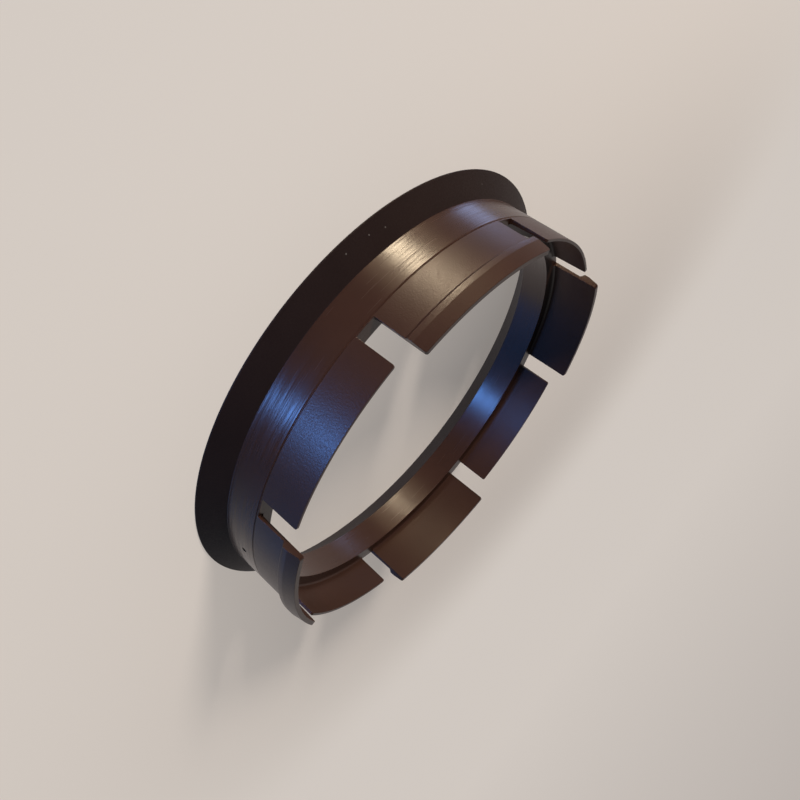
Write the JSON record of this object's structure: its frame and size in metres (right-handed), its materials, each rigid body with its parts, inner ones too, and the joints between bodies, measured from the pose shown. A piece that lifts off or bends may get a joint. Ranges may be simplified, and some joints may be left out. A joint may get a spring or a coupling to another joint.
{
  "type": "hub centric ring",
  "caption": "Moulded plastic hub centric ring with a thin conical flange, a plain bore and a crown of spring tabs, every second one with a snap lip, that centres a wheel on a hub.",
  "frame": {"origin": "centre of the flange's back rim, on the ring's axis, in the plane that the ring lies on", "axes": "+Z along the ring's axis from the flange to the tabs, +X through the middle of a lipped tab"},
  "size_m": [0.079, 0.079, 0.0172],
  "materials": {
    "brown_plastic": "satin dark brown moulded plastic, flange face matt"
  },
  "bodies": {
    "root": {"hub_ring": "brown_plastic"}
  },
  "joints": []
}
